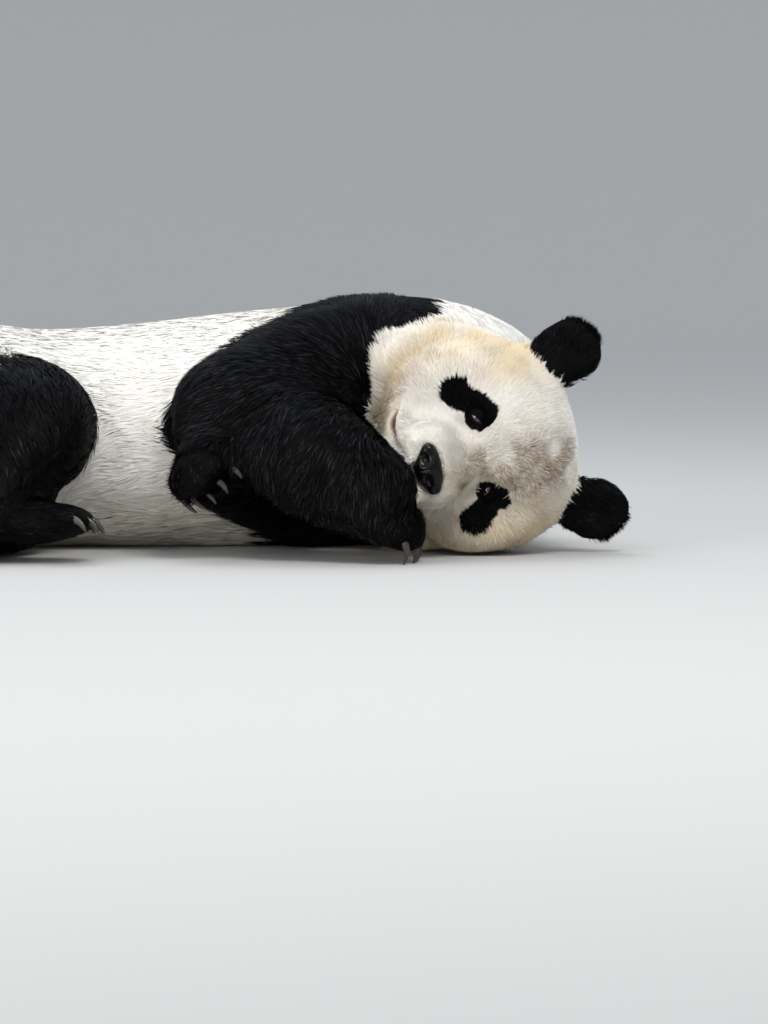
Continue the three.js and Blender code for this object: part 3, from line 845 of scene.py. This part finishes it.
def tuft_density(co, no, weights, spacing):
    """How many tufts grow by area, with none on the nose, the eyes and the bare lips."""
    underside = smoothstep(-0.9, -0.5, no[:, 2]) * 0.85 + 0.15
    lips = bare_lips(co, region(weights, "head"))
    density = underside / spacing**2 * (1 - smoothstep(0.25, 0.5, lips))
    nose = in_head(co) - in_head(NOSE)
    pad = np.hypot(nose[:, 0] / NOSE_PAD[0], nose[:, 1] / NOSE_PAD[1])
    density *= 1 - (1 - smoothstep(0.8, 1.05, pad)) * (nose[:, 2] > -0.02)
    for eye in (EYE_RIGHT, EYE_LEFT):
        off = (co - eye) @ HEAD.T
        density *= smoothstep(*BARE_EYE, np.hypot(off[:, 0], off[:, 1]))
    return density


def combed(place, normal, way, ruffled):
    """The way that each tuft lies: along the coat, with waves, and tossed where it is ruffled."""
    wander = 0.20 * waves3(place, 0.09, 51) + 0.12 * waves3(place, 0.03, 61)
    direction = tangent(way + wander + 0.09 * rng.normal(size=place.shape), normal)
    direction = unit(direction + [0, 0, -0.06])
    return tangent(direction + 0.9 * ruffled[:, None] * waves3(place, 0.022, 91), normal)


HALF_WAY, WHOLE_WAY = 0.45, 0.93  # where the middle and the tip stand, in a tuft's lengths
ROOT_DEPTH = 0.0012  # how far a tuft starts below the skin
ARCHED = ("neck", "trunk", "tail", "hindleg")


def ribbons(place, normal, middle, middle_way, tip, width):
    """The five points of each tuft, kept above the floor."""
    start = place - normal * ROOT_DEPTH
    across = unit(np.cross(tip - start, unit(normal + middle_way)))
    roll = rng.normal(0, 0.22, TUFTS)[:, None]
    across = across * np.cos(roll) + middle_way * np.sin(roll)
    half = across * (width / 2)[:, None]
    root = 0.8 * half
    rings = np.stack([start - root, start + root, middle - half, middle + half, tip], axis=1)
    floor = TUFT_LOWEST + 0.0012 * rng.uniform(0, 1, (TUFTS, 1))
    rings[:, :, 2] = np.maximum(rings[:, :, 2], floor)
    return rings


def black_tufts(co, weights, roots, place, half_way):
    """Whether each tuft is black, by the part of the body or the patch round an eye."""
    on_head = roots.of(region(weights, "head")) > 0.5
    marked = in_head(half_way) + 0.0007 * waves3(place, 0.012, 31)
    black = np.maximum(patch(marked) * on_head, roots.of(region_black(co, weights)))
    return black + rng.normal(0, 0.10, TUFTS) > 0.5


def build_coat(skin, weights, nodes):
    mesh = skin.data
    co, no = coordinates(mesh), normals(mesh)
    edges = edges_of(mesh)
    triangles, tri_uv = skin_triangles(mesh)
    soft = smooth(weights, edges, 12)
    limbs = region(soft, "foreleg") + region(soft, "trunk")
    coat = coat_on_skin(co, weights, soft, limbs, edges)
    roots = Roots(co, triangles, tuft_density(co, no, weights, coat[:, 3]), TUFTS)
    place, normal = roots.of(co), unit(roots.of(no))
    depth, length, width = roots.of(coat)[:, :3].T
    uv = np.einsum("nk,nkj->nj", roots.shares, tri_uv[roots.face])[:, None] + TUFT_UV
    uv = np.clip(uv, 0.0005, 0.9995)
    ruffled = roots.of(dust_and_shade(co, weights)) * (roots.of(region(weights, "head")) > 0.5)
    direction = combed(place, normal, roots.of(lie(co, no, soft, nodes)), ruffled)
    length = length * rng.uniform(0.7, 1.15, TUFTS)
    height = depth * (0.2 + 0.8 * smoothstep(0.0, 0.05, place[:, 2]))
    height = height * rng.uniform(0.6, 1.05, TUFTS) * (1 + 0.7 * ruffled)
    width = width * rng.uniform(0.7, 1.25, TUFTS) * BROAD

    tree = BVHTree.FromPolygons(co.tolist(), triangles.tolist())
    half_way, whole_way = (place + direction * (length * t)[:, None] for t in (HALF_WAY, WHOLE_WAY))
    middle, middle_way, _ = follow(tree, half_way, normal, 0.5 * length)
    tip, tip_way, tip_face = follow(tree, whole_way, normal, 0.5 * length)
    # on the body the tips turn back down a little, and on the head and the arms they stand up
    arch = roots.of(np.clip(sum(region(soft, name) for name in ARCHED), 0, 1))
    middle = middle + middle_way * (height * (0.68 + 0.03 * arch))[:, None]
    tip = tip + tip_way * (height * (1 - 0.14 * arch))[:, None]
    lock = length * 0.30
    share = rng.uniform(0.1, 0.38, TUFTS) * (1 - 0.5 * roots.of(region(soft, "trunk")))
    middle = clumped(middle, tip, lock, share * 0.35)
    tip = clumped(tip, tip, lock, share)
    bend = waves(place, 0.02, 71) * length * 0.05
    middle = middle + unit(np.cross(direction, normal)) * bend[:, None]
    rings = ribbons(place, normal, middle, middle_way, tip, width)

    is_black = black_tufts(co, weights, roots, place, half_way)
    # no black tuft of the shoulder or the arm climbs on to the ruff
    tip_on_head = region(weights, "head")[triangles[tip_face]].mean(1)
    climbs = (roots.of(limbs) > 0.15) & (tip_on_head > 0.3)
    streaks = waves(place, 0.035, 81) + 0.6 * rng.normal(size=TUFTS)
    outer, root_weights = (half_way + whole_way) / 2, roots.of(weights)
    white = {
        "stain": np.clip(stains(outer, root_weights) + rng.normal(0, 0.05, TUFTS), 0, 1),
        # how far each tuft is dulled by dust and painted shade
        "dust_and_shade": np.clip(dust_and_shade(outer, root_weights) * rng.uniform(0.4, 1.5, TUFTS), 0, 1),
        "tone": np.clip(0.955 + 0.035 * streaks, 0.75, 1.0),
    }
    chosen = np.flatnonzero(~is_black)
    coat_pieces("white_coat", white_coat_material(), chosen, rings, uv, white)
    # a few tufts, most of them on the arms, are painted seven times brighter: painted highlights on
    # single strands
    lit_strands = rng.uniform(0, 1, TUFTS) < 0.03 + 0.13 * roots.of(region(soft, "foreleg"))
    dark = {"tone": np.clip(1.0 + 0.35 * streaks, 0.3, 2.2) * np.where(lit_strands, 7, 1)}
    chosen = np.flatnonzero(is_black & ~climbs)
    coat_pieces("black_coat", black_coat_material(), chosen, rings, uv, dark)


# ---------------------------------------------------------------- eyes, lids, nose and claws
def grid_mesh(name, points):
    """A mesh over a rows x columns grid of points, closed round its columns."""
    rows, columns = points.shape[:2]
    faces = []
    for i in range(rows - 1):
        for j in range(columns):
            k = (j + 1) % columns
            here, below = i * columns, (i + 1) * columns
            faces.append([here + j, here + k, below + k, below + j])
    mesh = bpy.data.meshes.new(name)
    mesh.from_pydata(points.reshape(-1, 3).tolist(), [], faces)
    mesh.update()
    shade_smooth(mesh)
    return mesh


UNWRAP_ANGLE = math.radians(66)


def unwrap(obj):
    """A UV map named OFBake over the piece's own shape."""
    bpy.ops.object.select_all(action="DESELECT")
    obj.select_set(True)
    bpy.context.view_layer.objects.active = obj
    if "OFBake" not in obj.data.uv_layers:
        obj.data.uv_layers.new(name="OFBake")
    obj.data.uv_layers.active = obj.data.uv_layers["OFBake"]
    bpy.ops.object.mode_set(mode="EDIT")
    bpy.ops.mesh.select_all(action="SELECT")
    bpy.ops.uv.smart_project(angle_limit=UNWRAP_ANGLE, island_margin=0.002)
    bpy.ops.object.mode_set(mode="OBJECT")


PUPIL_EDGE, IRIS_EDGE, WHITE_EDGE = (0.24, 0.30), (0.56, 0.64), (0.64, 0.74)  # angles from the gaze


def build_eye(side, material):
    """An eyeball with a raised cornea, looking a little down and out."""
    gaze = unit(np.array([side * 0.10, -0.12, 1.0]))
    rows, columns = 25, 32
    polar = np.linspace(0.02, math.pi - 0.02, rows)
    turn = np.linspace(0, 2 * math.pi, columns, endpoint=False)
    axis_a = unit(np.cross(gaze, [0, 1, 0]))
    axis_b = np.cross(gaze, axis_a)
    radius = (EYE_R * (1 + 0.07 * bell(polar, 0.55)))[:, None, None]
    ring = np.cos(turn)[None, :, None] * axis_a + np.sin(turn)[None, :, None] * axis_b
    down = polar[:, None, None]
    local = radius * (np.cos(down) * gaze + np.sin(down) * ring)
    place = EYE_RIGHT if side > 0 else EYE_LEFT
    name = "eyeball_right" if side > 0 else "eyeball_left"
    mesh = grid_mesh(name, place + local @ HEAD)
    angle = np.repeat(polar, columns)
    add_value(mesh, "iris", smoothstep(*PUPIL_EDGE, angle) * (1 - smoothstep(*IRIS_EDGE, angle)))
    add_value(mesh, "sclera", smoothstep(*WHITE_EDGE, angle))
    mesh.materials.append(material)
    obj = new_object(name, mesh)
    unwrap(obj)
    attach(obj, "root")
    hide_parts("eye_right" if side > 0 else "eye_left")


LID_TILT = math.radians(38)
LID_ROWS, LID_COLUMNS = 9, 25
# Degrees up from the middle of the eye: the slit's middle, what each lid leaves open, and their ends.
LID_MIDDLE, UPPER_GAP, LOWER_GAP, LID_END = -6, 13, -12, 88


def lid_points(side, lid):
    """One lid as rows of points in the head's frame, from the middle of its eye."""
    azimuth = np.radians(np.linspace(-LID_END, LID_END, LID_COLUMNS))
    gap = np.cos(np.clip(azimuth / math.radians(50), -1, 1) * math.pi / 2)
    edge = np.radians(LID_MIDDLE + (UPPER_GAP if lid > 0 else LOWER_GAP) * gap)
    points = []
    for row in range(LID_ROWS):
        if row == 0:
            radius, rise = EYE_R * 0.96, edge
        else:
            radius = EYE_R * (1.17 if row == 1 else 1.2 - 0.012 * row)
            up = ((row - 1) / (LID_ROWS - 2)) ** 1.2
            rise = edge + (lid * math.radians(LID_END) - edge) * up
        x = np.cos(rise) * np.sin(azimuth)
        y = np.sin(rise) * np.ones(LID_COLUMNS)
        z = np.cos(rise) * np.cos(azimuth)
        turned_x = x * math.cos(LID_TILT) + y * math.sin(LID_TILT)
        turned_y = -x * math.sin(LID_TILT) + y * math.cos(LID_TILT)
        points.append(np.stack([side * turned_x, turned_y, z], axis=1) * radius)
    return np.vstack(points)


def build_lids(material):
    """Two lids over each eye, nearly shut, with thick dark rims."""
    points, faces = [], []
    for side, place in ((1, EYE_RIGHT), (-1, EYE_LEFT)):
        for lid in (1, -1):
            base = len(points)
            points += (place + lid_points(side, lid) @ HEAD).tolist()
            for i in range(LID_ROWS - 1):
                for j in range(LID_COLUMNS - 1):
                    a = base + i * LID_COLUMNS + j
                    quad = [a, a + 1, a + LID_COLUMNS + 1, a + LID_COLUMNS]
                    faces.append(quad if side * lid > 0 else quad[::-1])
    mesh = bpy.data.meshes.new("eyelids")
    mesh.from_pydata(points, [], faces)
    mesh.update()
    shade_smooth(mesh)
    mesh.materials.append(material)
    obj = new_object("eyelids", mesh)
    unwrap(obj)
    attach(obj, "root")


def copy_of(node, name):
    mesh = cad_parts[node].data.copy()
    mesh.materials.clear()
    bm = bmesh.new()
    bm.from_mesh(mesh)
    bmesh.ops.remove_doubles(bm, verts=bm.verts, dist=WELD)
    bm.to_mesh(mesh)
    bm.free()
    return new_object(name, mesh)


NOSE_CELL, NOSE_SWELL = 0.0011, 0.0012
NOSTRIL, NOSTRIL_RADII, NOSTRIL_DEPTH = (0.0135, -0.059), (0.0055, 0.0042), 0.0085
SLIT, SLIT_RADII, SLIT_DEPTH = (0.021, -0.0655), (0.007, 0.0022), 0.004
GROOVE_HALF_WIDTH, GROOVE_TOP, GROOVE_DEPTH = 0.0012, -0.056, 0.0016


def build_nose(material):
    obj = copy_of("nose", "nose_pad")
    remesh = obj.modifiers.new("remesh", "REMESH")
    remesh.mode = "VOXEL"
    remesh.voxel_size = NOSE_CELL
    mesh = apply_modifiers(obj)
    edges = edges_of(mesh)
    co = smooth(coordinates(mesh), edges, 14)
    set_coordinates(mesh, co)
    co = co + normals(mesh) * NOSE_SWELL
    local = in_head(co) - [NOSE_SIDE, 0, 0]
    local[:, 0] = np.abs(local[:, 0])
    r, u = local[:, 0], local[:, 1]
    # comma-shaped nostrils, with a slit that runs out and down from each, and a groove between
    hole = bloom(local, NOSTRIL, NOSTRIL_RADII)
    slope = np.stack([r, u + 0.2 * (r - SLIT[0])], axis=1)
    sink = NOSTRIL_DEPTH * hole + SLIT_DEPTH * bloom(slope, SLIT, SLIT_RADII)
    sink += GROOVE_DEPTH * bell(r, GROOVE_HALF_WIDTH) * (u < GROOVE_TOP)
    co = co - np.outer(sink * smoothstep(0.074, 0.086, local[:, 2]), HEAD[2])
    set_coordinates(mesh, smooth(co, edges, 1, 0.4))
    shade_smooth(mesh)
    mesh.materials.append(material)
    unwrap(obj)
    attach(obj, "root")
    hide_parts("nose")


CLAW_GROWTH = 1.12  # makes up for what the rounding of a claw takes off


def build_claws(material):
    names = sorted(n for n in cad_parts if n.startswith("claw"))
    made = bmesh.new()
    for name in names:
        obj = copy_of(name, "claw")
        subdivide = obj.modifiers.new("round", "SUBSURF")
        subdivide.levels = subdivide.render_levels = 2
        mesh = apply_modifiers(obj)
        co = coordinates(mesh)
        middle = co.mean(0)
        co = middle + (co - middle) * CLAW_GROWTH
        co[:, 2] = np.maximum(co[:, 2], CLAW_LOWEST)
        set_coordinates(mesh, co)
        made.from_mesh(mesh)
        bpy.data.objects.remove(obj)
    mesh = bpy.data.meshes.new("claws")
    made.to_mesh(mesh)
    made.free()
    shade_smooth(mesh)
    mesh.materials.append(material)
    obj = new_object("claws", mesh)
    unwrap(obj)
    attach(obj, "root")
    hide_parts(*names)


# ---------------------------------------------------------------- the scene
FLOOR_COLOUR, SKY_COLOUR, SKY_STRENGTH = (0.52, 0.515, 0.505, 1), (0.88, 0.93, 1.0, 1), 0.84
FLAT_RADII = [1e-5, 3.0, 6.0]
BOWL_START, BOWL_R, BOWL_TURN = 8.0, 5.0, 1.4
# Name, place, size in metres, power in watts and colour of each lamp.
LAMPS = (
    ("key", (0.9, -2.2, 2.8), 1.2, 63, (1.0, 0.975, 0.94)),
    ("top", (-0.4, 0.9, 2.8), 2.0, 30, (0.90, 0.95, 1.0)),
    ("fill", (-2.6, -3.0, 0.8), 2.6, 98, (1.0, 0.98, 0.96)),
)
LAMPS_AIM = Vector((0, 0, 0.15))


def build_floor():
    """A pale floor that rises in a shallow bowl far from the animal, so that no edge shows."""
    slope = np.linspace(0, BOWL_TURN, 14)
    rim = np.concatenate([FLAT_RADII, BOWL_START + BOWL_R * np.sin(slope)])
    rise = np.concatenate([np.zeros(len(FLAT_RADII)), BOWL_R * (1 - np.cos(slope))])
    turn = np.linspace(0, 2 * math.pi, 96, endpoint=False)
    x, y = rim[:, None] * np.cos(turn), rim[:, None] * np.sin(turn)
    z = np.repeat(rise[:, None], len(turn), axis=1)
    mesh = grid_mesh("floor", np.stack([x, y, z], axis=2))
    material, _, shader = node_tree("floor")
    set_inputs(shader, Base_Color=FLOOR_COLOUR, Roughness=0.9, Specular_IOR_Level=0.1)
    mesh.materials.append(material)
    new_object("floor", mesh)


def build_light():
    """A pale sky and three soft lamps."""
    world = bpy.data.worlds.new("studio")
    bpy.context.scene.world = world
    world.use_nodes = True
    set_inputs(world.node_tree.nodes["Background"], Color=SKY_COLOUR, Strength=SKY_STRENGTH)
    for name, place, size, power, tint in LAMPS:
        light = bpy.data.lights.new(name, "AREA")
        light.size, light.energy, light.color = size, power, tint
        obj = new_object(name, light)
        obj.location = place
        obj.rotation_euler = (LAMPS_AIM - obj.location).to_track_quat("-Z", "Y").to_euler()


FOCAL_PX, PICTURE_HEIGHT = 4000.0, 1024  # both in picture elements of the photo
SENSOR = 36  # millimetres
CAMERA_RISE, CAMERA_AWAY, AIM_HEIGHT = math.radians(4), 5.0, 0.0551


def build_camera():
    camera = bpy.data.cameras.new("camera")
    camera.sensor_width = SENSOR
    camera.lens = FOCAL_PX / PICTURE_HEIGHT * SENSOR
    obj = new_object("camera", camera)
    aim = at(0, 0, 0)
    away = Vector((0, -math.cos(CAMERA_RISE), math.sin(CAMERA_RISE)))
    obj.location = Vector((aim[0], aim[1], AIM_HEIGHT)) + away * CAMERA_AWAY
    obj.rotation_euler = (-away).to_track_quat("-Z", "Y").to_euler()
    scene = bpy.context.scene
    scene.camera = obj
    scene.view_settings.view_transform = "Standard"
    scene.view_settings.exposure = 0.0


def dress_skin(skin, weights):
    """The skin's map, its colours and its place in the frame."""
    unwrap(skin)
    mesh = skin.data
    co = coordinates(mesh)
    head = region(weights, "head")
    eye_patch = patch(in_head(co)) * smoothstep(0.4, 0.6, head)
    add_value(mesh, "black", np.maximum(region_black(co, weights), eye_patch))
    add_value(mesh, "stain", stains(co, weights))
    # dust and painted shade on the skin under the white coat
    add_value(mesh, "dust_and_shade", dust_and_shade(co, weights))
    add_value(mesh, "lips", bare_lips(co, head))
    mesh.materials.clear()
    mesh.materials.append(skin_material())
    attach(skin, "root")
    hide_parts(*FLESH)


def main():
    skin, weights, nodes = build_skin()
    dress_skin(skin, weights)
    build_coat(skin, weights, nodes)
    eye_look = eye_material()
    build_eye(1, eye_look)
    build_eye(-1, eye_look)
    build_lids(lid_material())
    build_nose(nose_material())
    build_claws(claw_material())
    build_floor()
    build_light()
    build_camera()


main()
